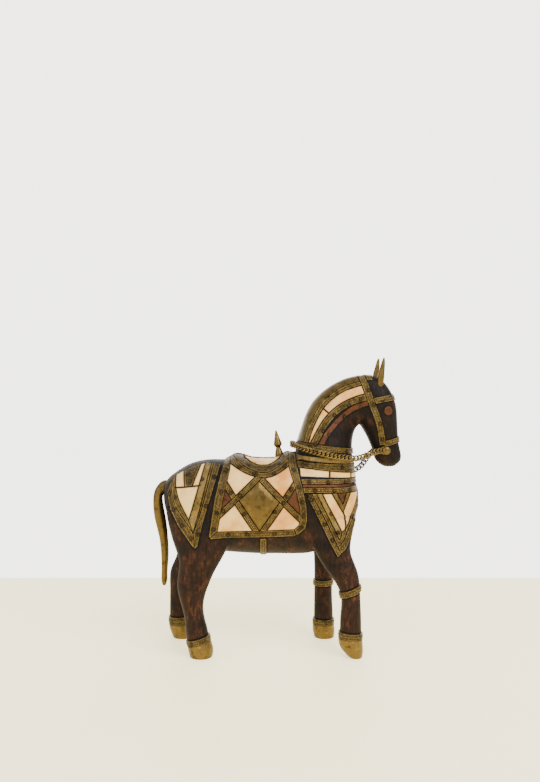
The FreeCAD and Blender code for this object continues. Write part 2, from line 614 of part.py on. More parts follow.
def rod(radius, start, end):
    direction = end - start
    return Part.makeCylinder(radius, direction.Length, start, direction)


EAR = [
    ((69.6, 178.0), (72.4, 177.4), 1.5), ((69.0, 182.0), (73.1, 181.4), 2.0),
    ((69.2, 186.8), (73.9, 186.3), 2.35), ((70.5, 192.3), (74.3, 191.9), 1.8),
    ((72.1, 197.8), (74.6, 197.5), 1.0), ((73.3, 201.0), (74.4, 200.9), 0.45)]
TAIL = [
    ((-75.5, 106.5), (-75.5, 115.0), 3.4), ((-79.6, 105.2), (-80.6, 115.0), 4.0),
    ((-80.0, 101.6), (-84.9, 110.2), 4.3), ((-79.2, 96.5), (-86.7, 101.8), 4.2),
    ((-77.6, 88.0), (-85.7, 89.6), 3.9), ((-76.2, 75.0), (-82.4, 75.5), 3.1),
    ((-75.9, 62.0), (-81.0, 62.0), 2.6), ((-76.6, 50.5), (-80.9, 50.3), 2.1),
    ((-77.1, 44.6), (-80.6, 44.2), 1.6), ((-78.1, 42.2), (-79.8, 42.1), 0.7)]
EAR_OFFSET = 6.4
holes = []
tang = size("tang_radius")
tang_hole = tang + size("tang_room")
for hand, side, back in (("right", -1, 0.0), ("left", 1, 2.0)):
    root = Vector(71.4 - back, side * EAR_OFFSET, 184)
    deep = Vector(69.8 - back, side * EAR_OFFSET, 184 - size("tang_depth") - 4)
    outline = [((low[0] - back, low[1]), (high[0] - back, high[1]), half) for low, high, half in EAR]
    blade = carving(stations_of(outline, side * EAR_OFFSET), ROUND, 0.0).cut(wood_glued)
    ear = max(blade.Solids, key=lambda solid: solid.BoundBox.ZMax)
    add_node(f"ear_{hand}", ear.fuse(rod(tang, root, deep)))
    holes.append(rod(tang_hole, root, deep + (deep - root) * 0.02))
tail_root = Vector(-81.5, 0, 110.2)
tail_deep = Vector(-78.5 + size("tang_depth"), 0, 110.2)
horn = carving(stations_of(TAIL), ROUND, 0.0).cut(wood_glued)
horn = max(horn.Solids, key=lambda solid: solid.Volume)
add_node("tail", horn.fuse(rod(tang, tail_root, tail_deep)))
holes.append(rod(tang_hole, tail_root, tail_deep + Vector(0.3, 0, 0)))

finial = doc.addObject("PartDesign::Body", "finial")
finial.Label = "finial"
profile = finial.newObject("Sketcher::SketchObject", "finial_profile")
profile.Placement = Placement(Vector(), Rotation(Vector(1, 0, 0), 90))
TURNING = [  # radius and height of each corner of the turned profile
    (None, "-Dimensions.tang_depth"), ("Dimensions.tang_radius", "-Dimensions.tang_depth"),
    ("Dimensions.tang_radius", None), ("Dimensions.finial_foot", None),
    ("Dimensions.finial_foot", "Dimensions.finial_foot_top"),
    ("Dimensions.finial_waist", "Dimensions.finial_waist_at"),
    ("Dimensions.finial_bulb", "Dimensions.finial_bulb_at"),
    ("Dimensions.finial_tip", "Dimensions.finial_tall"), (None, "Dimensions.finial_tall")]


def expressed(text):
    if text is None:
        return 0.0
    sign = -1.0 if text.startswith("-") else 1.0
    return sign * size(text.split(".")[1])


turned = [Vector(expressed(radius), expressed(height), 0) for radius, height in TURNING]
for index, corner in enumerate(turned):
    profile.addGeometry(Part.LineSegment(corner, turned[(index + 1) % len(turned)]), False)
for index in range(len(turned)):
    profile.addConstraint(Sketcher.Constraint("Coincident", index, 2, (index + 1) % len(turned), 1))
for index, (radius, height) in enumerate(TURNING):
    for kind, text, value in (("DistanceX", radius, turned[index].x), ("DistanceY", height, turned[index].y)):
        if text is None:
            on_axis = -2 if kind == "DistanceX" else -1
            profile.addConstraint(Sketcher.Constraint("PointOnObject", index, 1, on_axis))
            continue
        number = profile.addConstraint(Sketcher.Constraint(kind, -1, 1, index, 1, value))
        profile.setExpression(f"Constraints[{number}]", text)
turning = finial.newObject("PartDesign::Revolution", "finial_turning")
turning.Profile = profile
turning.ReferenceAxis = (profile, ["V_Axis"])
turning.Angle = 360
finial.Tip = turning
FINIAL_TOP = Vector(1.6, 0, 132.9)
lean = Rotation(Vector(0, 1, 0), -size("finial_lean"))
finial_axis = lean.multVec(Vector(0, 0, 1))
finial_seat = FINIAL_TOP - finial_axis * size("finial_sunk")
finial.Placement = Placement(finial_seat, lean)
nodes["finial"] = finial
finial_recess = rod(size("finial_foot") + size("tang_room"), finial_seat, finial_seat + finial_axis * 6)
holes.append(finial_recess)
tang_end = finial_seat - finial_axis * (size("tang_depth") + 0.3)
holes.append(rod(tang_hole, finial_seat + finial_axis, tang_end))

# ---------------------------------------------------------------- eyes and bit studs
def skin_point(shape, x, z, side):
    """Where a line across the horse first meets a shape, from one side."""
    line = Part.makeLine(Vector(x, side * FAR, z), Vector(x, side * 0.01, z))
    return max(shape.common(line).Vertexes, key=lambda vertex: abs(vertex.Y)).Point


def outward(shape, x, z, side, reach=0.8):
    """Direction straight out of the surface there, from three neighbouring points."""
    here = skin_point(shape, x, z, side)
    ahead = skin_point(shape, x + reach, z, side) - here
    higher = skin_point(shape, x, z + reach, side) - here
    normal = ahead.cross(higher)
    normal.normalize()
    return here, normal * math.copysign(1.0, normal.y * side)


EYE = (76.1, 164.5)
STUD = (74.8, 137.2)
stud_reach = {}
for hand, side in (("right", -1), ("left", 1)):
    spot, normal = outward(wood, EYE[0], EYE[1], side)
    seat_floor = spot - normal * size("eye_sunk")
    disc = doc.addObject("Part::Cylinder", f"eye_disc_{hand}")
    bind(disc, {"Radius": "Dimensions.eye_radius", "Height": "Dimensions.eye_thick"})
    bore = doc.addObject("Part::Cylinder", f"eye_bore_{hand}")
    bind(bore, {"Radius": "Dimensions.eye_hole", "Height": "Dimensions.eye_thick"})
    eye = doc.addObject("Part::Cut", f"eye_{hand}")
    eye.Label = f"eye_{hand}"
    eye.Base = disc
    eye.Tool = bore
    eye.Placement = Placement(seat_floor, Rotation(Vector(0, 0, 1), normal))
    nodes[f"eye_{hand}"] = eye
    holes.append(rod(size("eye_radius") + size("eye_room"), seat_floor, seat_floor + normal * 4))

    spot = skin_point(wood, STUD[0], STUD[1], side)
    stud_reach[side] = abs(spot.y)
    shank = doc.addObject("Part::Cylinder", f"stud_shank_{hand}")
    bind(shank, {"Radius": "Dimensions.stud_shank",
                 "Height": "Dimensions.stud_depth + Dimensions.stud_stand"})
    head = doc.addObject("Part::Ellipsoid", f"stud_head_{hand}")
    bind(head, {"Radius1": "Dimensions.stud_dome", "Radius2": "Dimensions.stud_radius",
                "Radius3": "Dimensions.stud_radius"})
    head.Angle1 = 0
    head.Placement = Placement(Vector(0, 0, size("stud_depth") + size("stud_stand")), Rotation())
    bind(head, {"Placement.Base.z": "Dimensions.stud_depth + Dimensions.stud_stand"})
    stud = doc.addObject("Part::Fuse", f"bit_stud_{hand}")
    stud.Label = f"bit_stud_{hand}"
    stud.Base = shank
    stud.Tool = head
    inner_end = Vector(STUD[0], side * (stud_reach[side] - size("stud_depth")), STUD[1])
    stud.Placement = Placement(inner_end, Rotation(Vector(0, 0, 1), Vector(0, side, 0)))
    nodes[f"bit_stud_{hand}"] = stud
    holes.append(rod(size("stud_shank") + size("tang_room"), inner_end - Vector(0, side * 0.3, 0),
                     inner_end + Vector(0, side * (size("stud_depth") + 3), 0)))

# ---------------------------------------------------------------- the chain rein
REIN_STAND = 2.6  # from the plates to the middle of the links, which lie on edge
NEAR_REIN = [(44.0, 132.8), (36.0, 134.3), (28.4, 136.0), (20.0, 138.1)]
FAR_REIN = [(20.0, 137.4), (28.0, 134.2), (36.0, 130.2), (42.0, 126.8)]
BEHIND = [(11.9, 9.9, 140.6), (9.9, 0.0, 141.2)]  # round the back of the neck, just above the saddle


def along_neck(points, side):
    result = []
    for x, z in points:
        spot, normal = outward(plate_top, x, z, side)
        result.append(spot + normal * REIN_STAND)
    return result


stud_middle = size("stud_stand") / 2
near_stud = Vector(STUD[0], -(stud_reach[-1] + stud_middle), STUD[1])
far_stud = Vector(STUD[0], stud_reach[1] + stud_middle, STUD[1])
rein_points = [near_stud, Vector(71.0, -9.5, 136.9), Vector(67.0, -10.2, 136.2), Vector(63.5, -12.0, 135.1)]
rein_points += [Vector(57.8, -15.2, 133.2), Vector(52.0, -18.0, 132.4)]
rein_points += along_neck(NEAR_REIN, -1)
rein_points.append(Vector(BEHIND[0][0], -BEHIND[0][1], BEHIND[0][2]))
rein_points.append(Vector(*BEHIND[1]))
rein_points.append(Vector(*BEHIND[0]))
rein_points += along_neck(FAR_REIN, 1)
rein_points += [Vector(48.4, 19.0, 123.8), Vector(54.0, 17.8, 121.2), Vector(59.0, 16.0, 123.0),
                Vector(62.6, 14.0, 127.5), Vector(65.8, 11.7, 132.7), Vector(69.6, 9.9, 136.2), far_stud]
rein_line = Part.BSplineCurve()
rein_line.interpolate(rein_points)
run = rein_line.length() - 2 * size("hook_reach")
link_steps = 2 * int(run / (2 * size("link_pitch"))) + 1  # odd, so that both ends hook on alike
distances = [size("hook_offset")]
distances += [size("hook_reach") + run * index / link_steps for index in range(link_steps + 1)]
distances.append(rein_line.length() - size("hook_offset"))
link = doc.addObject("Part::Torus", "rein_link")
bind(link, {"Radius1": "Dimensions.link_radius", "Radius2": "Dimensions.link_wire"})
hook = doc.addObject("Part::Torus", "rein_hook")
bind(hook, {"Radius1": "Dimensions.hook_radius", "Radius2": "Dimensions.link_wire"})
doc.recompute()
links = []
for index, distance in enumerate(distances):
    at = rein_line.parameterAtDistance(distance)
    here = rein_line.value(at)
    tangent = rein_line.tangent(at)[0]
    level = Vector(0, 0, 1).cross(tangent)
    level.normalize()
    upright = tangent.cross(level)
    hooked = distance in (distances[0], distances[-1])
    if hooked:
        ring_axis = Vector(0, 1, 0)
    else:
        turn = math.radians(45 if index % 2 else -45)
        ring_axis = level * math.cos(turn) + upright * math.sin(turn)
    one = (hook if hooked else link).Shape.copy()
    one.Placement = Placement(here, Rotation(Vector(0, 0, 1), ring_axis))
    links.append(one)
add_node("rein_chain", Part.makeCompound(links))

# ---------------------------------------------------------------- nails
NAILS = [  # places of the nails on each side of the horse
    (-34.3, 124.0), (-37.4, 111.0), (-40.2, 97.0), (-42.6, 86.0), (-33.0, 82.2), (-20.0, 82.6), (-2.0, 83.2),
    (15.6, 87.0), (17.4, 95.0), (16.6, 104.0), (14.2, 114.0), (11.0, 125.0),
    (-25.5, 127.0), (-15.6, 122.7), (-2.4, 122.6), (4.6, 127.2), (-19.3, 128.0), (1.0, 128.8),
    (-36.0, 98.4), (-25.0, 108.6), (4.0, 103.8), (-22.0, 96.6), (-2.0, 98.0), (-31.0, 110.4), (9.0, 112.6),
    (21.4, 108.0), (22.4, 105.4), (27.6, 97.0), (31.6, 88.8), (36.6, 78.8), (36.0, 96.0), (40.4, 83.6),
    (-57.4, 80.3), (-63.6, 88.6), (-69.6, 98.6), (-72.4, 108.6), (-52.4, 83.0), (-47.4, 101.6),
    (-42.2, 120.6),
    (-58.5, 117.5), (-60.2, 121.8), (-68.6, 106.6), (-50.4, 119.0),
    (25.9, 141.9), (31.0, 150.8), (39.0, 161.4), (49.0, 168.0), (57.0, 172.2), (34.9, 148.4), (45.8, 160.4),
    (62.9, 178.4), (66.0, 168.6), (70.4, 155.6), (72.2, 144.6), (47.5, 136.6), (22.0, 140.2),
    (44.0, 126.2), (21.0, 117.2), (34.0, 116.6), (46.0, 116.2), (25.0, 111.4), (38.0, 111.0), (49.0, 110.8)]
shank_radius = size("nail_shank")
head_radius = size("nail_head")
dome = size("nail_dome")
turned_nail = [
    (0, dome), (head_radius * 0.4, dome), (head_radius * 0.85, dome * 0.55), (head_radius, 0),
    (shank_radius, 0),
    (shank_radius, -size("nail_depth")), (0, -size("nail_depth"))]
nail = flat(turned_nail).revolve(Vector(), Vector(0, 0, 1), 360)
if nail.Volume < 0:
    nail.reverse()
pins = []
for x, z in NAILS:
    for side in (-1, 1):
        spot, normal = outward(plate_top, x, z, side)
        one = nail.copy()
        one.Placement = Placement(spot, Rotation(Vector(0, 0, 1), normal))
        pins.append(one)
eye_nail = Part.makeCylinder(size("eye_hole") - size("tang_room"), size("nail_depth") + size("eye_thick"))
for side, hand in ((-1, "right"), (1, "left")):
    spot = nodes[f"eye_{hand}"].Placement.Base
    turn = nodes[f"eye_{hand}"].Placement.Rotation
    one = eye_nail.copy()
    one.Placement = Placement(spot - turn.multVec(Vector(0, 0, 1)) * (size("nail_depth") - 0.3), turn)
    pins.append(one)
add_node("brass_pins", Part.makeCompound(pins))

# ---------------------------------------------------------------- the wood, with its holes
for name in ("saddle_ridge", "saddle_seat", "saddle_crescent"):
    plate = nodes[name]
    trimmed = plate.Shape.cut(finial_recess)
    plate.Shape = Part.makeCompound([solid for solid in trimmed.Solids if solid.Volume > 0.4])
add_node("carved_body", wood.cut(holes))

# ---------------------------------------------------------------- into the shared frame
doc.recompute()
low = Vector(1e9, 1e9, 1e9)
high = Vector(-1e9, -1e9, -1e9)
for feature in nodes.values():
    box = feature.Shape.optimalBoundingBox(False, False)
    low = Vector(min(low.x, box.XMin), min(low.y, box.YMin), min(low.z, box.ZMin))
    high = Vector(max(high.x, box.XMax), max(high.y, box.YMax), max(high.z, box.ZMax))
shift = Vector(-(low.x + high.x) / 2, -(low.y + high.y) / 2, -low.z)
for feature in nodes.values():
    feature.Placement = Placement(feature.Placement.Base + shift, feature.Placement.Rotation)
doc.recompute()

for obj in doc.Objects:
    if "Invalid" in obj.State or "Error" in obj.State:
        raise RuntimeError(f"{obj.Name} did not compute")
for name, feature in nodes.items():
    if feature.Label != name or feature.Shape.isNull() or not feature.Shape.isValid():
        raise RuntimeError(f"{name} has no valid shape")
for name, feature in nodes.items():
    if name.endswith("_left"):
        twin = nodes[name[:-5] + "_right"]
        if len(feature.Shape.Solids) != len(twin.Shape.Solids):
            raise RuntimeError(f"{name} and its twin differ in their number of solids")

os.makedirs("parts", exist_ok=True)
for name, feature in nodes.items():
    feature.Shape.exportStep(f"parts/{name}.step")
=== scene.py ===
"""Looks of the carved wooden horse: lacquered wood, aged brass, copper and bone. Metres, row frame."""
import json
import math

import bmesh
import bpy
import numpy as np
from mathutils import Matrix, Vector, noise
from mathutils.bvhtree import BVHTree
from mathutils.kdtree import KDTree


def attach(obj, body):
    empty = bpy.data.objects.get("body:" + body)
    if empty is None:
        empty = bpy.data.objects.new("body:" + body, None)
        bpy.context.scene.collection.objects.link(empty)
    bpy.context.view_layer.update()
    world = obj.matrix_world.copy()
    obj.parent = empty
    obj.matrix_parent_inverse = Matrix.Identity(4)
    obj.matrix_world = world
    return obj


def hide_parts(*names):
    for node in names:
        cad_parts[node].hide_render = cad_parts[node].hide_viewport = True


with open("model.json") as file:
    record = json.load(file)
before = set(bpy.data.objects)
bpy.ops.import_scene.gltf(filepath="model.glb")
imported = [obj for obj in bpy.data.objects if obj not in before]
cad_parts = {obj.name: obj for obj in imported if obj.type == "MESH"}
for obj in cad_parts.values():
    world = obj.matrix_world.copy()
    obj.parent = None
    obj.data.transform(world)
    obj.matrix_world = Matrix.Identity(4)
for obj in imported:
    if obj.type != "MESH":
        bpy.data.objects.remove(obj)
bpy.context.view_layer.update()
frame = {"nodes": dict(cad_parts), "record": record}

MM = 0.001
LENS = 36.1
CAMERA_SPOT = (-0.0049, -0.5485, 0.178)
TABLE_EDGE = 0.198  # how far behind the horse's middle the table ends
FLOOR_REACH = 3.0
nodes = frame["nodes"]
SLOTS = {entry["node"]: entry["material_slot"] for entry in frame["record"]["subparts"]}


# ---------------------------------------------------------------- materials
class Paint:
    """A node material, built step by step."""

    def __init__(self, name):
        self.material = bpy.data.materials.new(name)
        self.material.use_nodes = True
        self.tree = self.material.node_tree
        self.shader = self.tree.nodes["Principled BSDF"]
        self.place = self.add("ShaderNodeTexCoord").outputs["Object"]

    def add(self, kind, **settings):
        node = self.tree.nodes.new(kind)
        for key, value in settings.items():
            setattr(node, key, value)
        return node

    def link(self, source, target):
        self.tree.links.new(source, target)
        return target

    def feed(self, socket, value):
        if isinstance(value, (int, float, tuple)):
            socket.default_value = value
        else:
            self.link(value, socket)

    def grain(self, size_mm, detail=3.0, rough=0.55, stretch=None, distortion=0.0):
        """Noise whose features are about this big."""
        texture = self.add("ShaderNodeTexNoise")
        texture.inputs["Scale"].default_value = 1.0 / (size_mm * MM)
        texture.inputs["Detail"].default_value = detail
        texture.inputs["Roughness"].default_value = rough
        texture.inputs["Distortion"].default_value = distortion
        place = self.place
        if stretch:
            mapping = self.add("ShaderNodeMapping")
            mapping.inputs["Scale"].default_value = stretch
            self.link(place, mapping.inputs["Vector"])
            place = mapping.outputs["Vector"]
        self.link(place, texture.inputs["Vector"])
        return texture.outputs["Fac"]

    def cells(self, size_mm, feature="F1", randomness=0.7):
        texture = self.add("ShaderNodeTexVoronoi", feature=feature)
        texture.inputs["Scale"].default_value = 1.0 / (size_mm * MM)
        texture.inputs["Randomness"].default_value = randomness
        self.link(self.place, texture.inputs["Vector"])
        return texture.outputs["Distance"]

    def ramp(self, value, stops):
        node = self.add("ShaderNodeValToRGB")
        ramp = node.color_ramp
        while len(ramp.elements) < len(stops):
            ramp.elements.new(0.5)
        for element, (position, colour) in zip(ramp.elements, stops):
            element.position = position
            element.color = (*colour, 1.0) if isinstance(colour, tuple) else (colour, colour, colour, 1.0)
        self.link(value, node.inputs["Fac"])
        return node.outputs["Color"]

    def mix(self, factor, first, second, blend="MIX"):
        node = self.add("ShaderNodeMix", data_type="RGBA", blend_type=blend)
        self.feed(node.inputs["Factor"], factor)
        for socket, value in ((node.inputs["A"], first), (node.inputs["B"], second)):
            if isinstance(value, tuple) and len(value) == 3:
                value = (*value, 1.0)
            self.feed(socket, value)
        return node.outputs["Result"]

    def math(self, operation, first, second=0.0, clamp=False):
        node = self.add("ShaderNodeMath", operation=operation, use_clamp=clamp)
        self.feed(node.inputs[0], first)
        self.feed(node.inputs[1], second)
        return node.outputs["Value"]

    def attribute(self, name):
        return self.add("ShaderNodeAttribute", attribute_name=name).outputs["Fac"]

    def bump(self, height, distance_mm, strength=1.0, under=None):
        node = self.add("ShaderNodeBump")
        node.inputs["Strength"].default_value = strength
        node.inputs["Distance"].default_value = distance_mm * MM
        self.link(height, node.inputs["Height"])
        if under is not None:
            self.link(under, node.inputs["Normal"])
        return node.outputs["Normal"]

    def finish(self, colour, roughness, normal, metallic=0.0, coat=0.0, shine=0.5):
        self.feed(self.shader.inputs["Base Color"], colour)
        self.feed(self.shader.inputs["Roughness"], roughness)
        self.feed(self.shader.inputs["Metallic"], metallic)
        self.shader.inputs["Specular IOR Level"].default_value = shine
        if coat:
            self.shader.inputs["Coat Weight"].default_value = coat
            self.shader.inputs["Coat Roughness"].default_value = 0.25
        self.link(normal, self.shader.inputs["Normal"])
        return self.material


def aged_metal(name, deep, middle, bright, embossed, rough=(0.34, 0.62)):
    """Beaten sheet of mottled tone; where embossed, painted shade darkens the hollows and a painted highlight
    brightens what stands out.
    """
    paint = Paint(name)
    mottle = paint.grain(5.0, detail=5.0, rough=0.62)
    fine = paint.grain(0.8, detail=4.0, rough=0.6)
    colour = paint.ramp(mottle, [(0.32, deep), (0.48, middle), (0.60, middle), (0.76, bright)])
    dents = paint.cells(3.4, randomness=1.0)
    height = paint.math("MULTIPLY", dents, 0.35)
    if embossed:
        edge = paint.attribute("edge")  # mm from the piece's edge
        middle = paint.attribute("middle")  # mm from the strip's middle line
        run = paint.attribute("run")  # mm along the strip
        phase = paint.math("PINGPONG", run, 0.8)
        across = paint.math("MULTIPLY", middle, 1.15)
        reach = paint.math("SQRT", paint.math("ADD", paint.math("MULTIPLY", phase, phase),
                                              paint.math("MULTIPLY", across, across)))
        knobs = paint.ramp(reach, [(0.12, 0.95), (0.30, 0.75), (0.46, 0.0), (0.60, 0.22), (0.74, 0.0)])
        beads = paint.math("PINGPONG", run, 0.4)
        bead_row = paint.math("MULTIPLY", paint.ramp(beads, [(0.08, 0.7), (0.30, 0.0)]),
                              paint.ramp(edge, [(0.55, 0.0), (0.68, 1.0), (0.82, 1.0), (0.95, 0.0)]))
        rim = paint.ramp(edge, [(0.10, 0.5), (0.28, 1.0), (0.42, 1.0), (0.56, 0.0)])
        punched = paint.ramp(paint.cells(1.1, randomness=0.8), [(0.15, 0.35), (0.45, 0.0)])
        raised = paint.math("MAXIMUM", knobs, rim)
        relief = paint.math("MAXIMUM", raised, paint.math("MAXIMUM", bead_row, punched))
        relief = paint.math("MAXIMUM", relief, paint.math("MULTIPLY", paint.attribute("plain"), 0.62))
        # Painted shade in the relief's hollows and a painted highlight on its raised parts, multiplied into
        # the colour.
        relief_shade_and_highlight = paint.ramp(relief, [(0.0, 0.26), (0.35, 0.85), (1.0, 1.35)])
        colour = paint.mix(1.0, colour, relief_shade_and_highlight, "MULTIPLY")
        height = paint.math("ADD", height, relief)
    colour = paint.mix(paint.attribute("pinned"), colour, (0.012, 0.008, 0.004))
    speck = paint.ramp(fine, [(0.3, 0.55), (0.5, 1.0), (0.75, 1.12)])
    colour = paint.mix(0.75, colour, speck, "MULTIPLY")
    roughness = paint.ramp(fine, [(0.3, rough[1]), (0.7, rough[0])])
    coarse = paint.bump(height, 0.42 if embossed else 0.12, 0.9)
    normal = paint.bump(fine, 0.05, 0.5, coarse)
    return paint.finish(colour, roughness, normal, metallic=0.86)


def lacquered_wood():
    """Nearly black wood, rubbed red-brown where it is handled, most of all on the legs, with fine checks."""
    paint = Paint("wood_dark")
    grain = paint.grain(1.6, detail=6.0, rough=0.65, stretch=(1.0, 1.0, 0.16))
    patches = paint.grain(13.0, detail=4.0, rough=0.6)
    scuffs = paint.grain(2.4, detail=6.0, rough=0.72, stretch=(1.0, 1.0, 0.4))
    height = paint.add("ShaderNodeSeparateXYZ")
    paint.link(paint.place, height.inputs["Vector"])
    legs = paint.add("ShaderNodeMapRange")
    paint.link(height.outputs["Z"], legs.inputs["Value"])
    legs.inputs["From Min"].default_value = 0.105
    legs.inputs["From Max"].default_value = 0.055
    legs.inputs["To Min"].default_value = 0.0
    legs.inputs["To Max"].default_value = 0.16
    base = paint.ramp(grain, [(0.25, (0.0015, 0.0009, 0.0007)), (0.5, (0.0045, 0.0027, 0.002)),
                              (0.8, (0.013, 0.0072, 0.0048))])
    brown = paint.ramp(grain, [(0.3, (0.005, 0.0025, 0.0017)), (0.75, (0.022, 0.0092, 0.005))])
    worn = paint.ramp(scuffs, [(0.35, (0.022, 0.0085, 0.004)), (0.7, (0.092, 0.032, 0.013))])
    reach = paint.math("ADD", patches, legs.outputs["Result"])
    colour = paint.mix(paint.ramp(reach, [(0.46, 0.0), (0.66, 1.0)]), base, brown)
    wear = paint.math("MULTIPLY", paint.ramp(reach, [(0.54, 0.0), (0.78, 0.85)]),
                      paint.ramp(scuffs, [(0.47, 0.0), (0.62, 1.0)]))
    colour = paint.mix(wear, colour, worn)
    roughness = paint.ramp(scuffs, [(0.3, 0.42), (0.7, 0.68)])
    chisel = paint.grain(6.0, detail=2.0, rough=0.4)
    coarse = paint.bump(chisel, 0.5, 0.5)
    normal = paint.bump(grain, 0.14, 0.7, coarse)
    covered = paint.attribute("covered")
    colour = paint.mix(covered, colour, (0.0025, 0.0018, 0.0015))
    return paint.finish(colour, roughness, normal, shine=0.09)


def old_bone(name):
    """Cream bone with orange stains, fine pores and dark edges."""
    paint = Paint(name)
    clouds = paint.grain(9.0, detail=4.0, rough=0.5)
    pores = paint.grain(0.5, detail=3.0, rough=0.6, stretch=(1.0, 1.0, 0.4))
    edge = paint.attribute("edge")
    cream = paint.ramp(clouds, [(0.35, (0.66, 0.46, 0.175)), (0.7, (0.60, 0.355, 0.10))])
    soak = paint.math("ADD", paint.grain(11.0, detail=5.0, rough=0.55), paint.attribute("stain"))
    colour = paint.mix(paint.ramp(soak, [(0.50, 0.0), (0.80, 0.9)]), cream, (0.48, 0.175, 0.020))
    dirt = paint.ramp(edge, [(0.0, 0.02), (0.28, 0.12), (0.62, 1.0)])
    colour = paint.mix(0.9, colour, dirt, "MULTIPLY")
    speck = paint.ramp(pores, [(0.25, 0.62), (0.42, 1.0)])
    colour = paint.mix(0.5, colour, speck, "MULTIPLY")
    roughness = paint.ramp(pores, [(0.3, 0.5), (0.7, 0.32)])
    normal = paint.bump(pores, 0.04, 0.5, paint.bump(clouds, 0.3, 0.3))
    return paint.finish(colour, roughness, normal, coat=0.06, shine=0.3)


PAINTS = {
    "embossed_brass": aged_metal("brass_embossed", (0.05, 0.032, 0.010), (0.16, 0.104, 0.030),
                                 (0.34, 0.235, 0.085), True),
    "smooth_brass": aged_metal("brass_smooth", (0.040, 0.025, 0.006), (0.098, 0.061, 0.015),
                               (0.19, 0.125, 0.036), False, (0.28, 0.5)),
    "hoof_brass": aged_metal("brass_hoof", (0.045, 0.027, 0.006), (0.135, 0.084, 0.020),
                             (0.30, 0.20, 0.055), False, (0.28, 0.5)),
    "chain_brass": aged_metal("brass_chain", (0.04, 0.026, 0.008), (0.15, 0.10, 0.030),
                              (0.33, 0.24, 0.09), False, (0.3, 0.5)),
    "nail_brass": aged_metal("brass_nail", (0.012, 0.008, 0.003), (0.05, 0.032, 0.010),
                             (0.15, 0.10, 0.035), False, (0.4, 0.6)),
    "copper": aged_metal("copper_aged", (0.020, 0.008, 0.004), (0.072, 0.027, 0.012),
                         (0.15, 0.060, 0.028), False, (0.4, 0.65)),
    "dark_wood": lacquered_wood(),
    "bone": old_bone("bone_old"),
}


# ---------------------------------------------------------------- mesh helpers
def new_piece(name, mesh, slot, body="horse", smooth=True):
    piece = bpy.data.objects.new(name, mesh)
    bpy.context.scene.collection.objects.link(piece)
    mesh.materials.clear()
    mesh.materials.append(PAINTS[slot])
    if smooth:
        mesh.polygons.foreach_set("use_smooth", [True] * len(mesh.polygons))
    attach(piece, body)
    return piece


def welded(node):
    """The CAD node's mesh with its shared corners joined."""
    work = bmesh.new()
    work.from_mesh(nodes[node].data)
    bmesh.ops.remove_doubles(work, verts=work.verts, dist=1e-6)
    return work


def carve_wood():
    """The carving as one smooth skin: the CAD's joints between legs, neck and body are worked over."""
    piece = bpy.data.objects.new("horse_wood", nodes["carved_body"].data.copy())
    bpy.context.scene.collection.objects.link(piece)
    remesh = piece.modifiers.new("remesh", "REMESH")
    remesh.mode = "VOXEL"
    remesh.voxel_size = 0.85 * MM
    soften = piece.modifiers.new("soften", "SMOOTH")
    soften.factor = 0.5
    soften.iterations = 12
    mesh = bpy.data.meshes.new_from_object(piece.evaluated_get(bpy.context.evaluated_depsgraph_get()))
    bpy.data.objects.remove(piece)
    work = bmesh.new()
    work.from_mesh(mesh)
    work.normal_update()
    for vert in work.verts:
        vert.co += vert.normal * 0.12 * MM
    work.to_mesh(mesh)
    work.free()
    piece = new_piece("horse_wood", mesh, "dark_wood")
    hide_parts("carved_body")
    return piece


def blacken(piece):
    """Marks the wood under and just beside the plates, which is black with old filler."""
    plates = [nodes[node] for node in nodes if node.startswith(LAID_NAMES)]
    spots = [vert.co for thing in plates for vert in thing.data.vertices]
    near = KDTree(len(spots))
    for index, spot in enumerate(spots):
        near.insert(spot, index)
    near.balance()
    layer = piece.data.attributes.new("covered", "FLOAT", "POINT")
    distances = np.array([near.find(vert.co)[2] / MM for vert in piece.data.vertices])
    layer.data.foreach_set("value", np.clip((1.5 - distances) / 0.7, 0.0, 1.0).astype(np.float32))


LAID_NAMES = ("collar_", "cheek_", "brow", "nose", "mane_", "neck_", "chest_", "rump_", "saddle_", "girth",
              "hoof_collar", "knee_")
wood = carve_wood()
blacken(wood)
wood_mesh = bmesh.new()
wood_mesh.from_mesh(wood.data)
wood_tree = BVHTree.FromBMesh(wood_mesh)
cad_wood = welded("carved_body")
cad_tree = BVHTree.FromBMesh(cad_wood)


def islands(work):
    """The separate pieces of a mesh, each a list of its corners."""
    left = set(work.verts)
    found = []
    for first in work.verts:
        if first not in left:
            continue
        left.remove(first)
        group = [first]
        for vert in group:
            for edge in vert.link_edges:
                other = edge.other_vert(vert)
                if other in left:
                    left.remove(other)
                    group.append(other)
        found.append(group)
    return found


def long_axis(points):
    """Middle of the points, their longest direction and their thinnest."""
    middle = points.mean(axis=0)
    _, axes = np.linalg.eigh(np.cov((points - middle).T))
    return Vector(middle), Vector(axes[:, 2]), Vector(axes[:, 0])


def solids(node):
    """The separate solids of a CAD node, as arrays of corner points."""
    work = welded(node)
    found = [np.array([vert.co[:] for vert in group]) for group in islands(work)]
    work.free()
    return found


def top_patch(node, least):
    """The outer face of a plate, cut free from its walls and underside."""
    work = welded(node)
    high = {}
    for vert in work.verts:
        high[vert] = cad_tree.find_nearest(vert.co)[3] > least
    under = [face for face in work.faces if not all(high[vert] for vert in face.verts)]
    bmesh.ops.delete(work, geom=under, context="FACES")
    return work


def refine(work, longest):
    """Splits long edges until the patch is fine enough to bend and shade well."""
    for _ in range(7):
        long_edges = [edge for edge in work.edges if edge.calc_length() > longest]
        if not long_edges:
            break
        bmesh.ops.subdivide_edges(work, edges=long_edges, cuts=1, use_grid_fill=False)
        bmesh.ops.triangulate(work, faces=[face for face in work.faces if len(face.verts) > 3])
    interior = [edge for edge in work.edges if not edge.is_boundary]
    bmesh.ops.beautify_fill(work, faces=work.faces, edges=interior, use_restrict_tag=False, method="ANGLE")


PLAIN_NODES = ("collar_band_2",)
# Node, then x and z of the strip.
PLAIN_STRIPS = (("chest_strips", 30.8, 96.5), ("rump_strips", -47.6, 109.9))


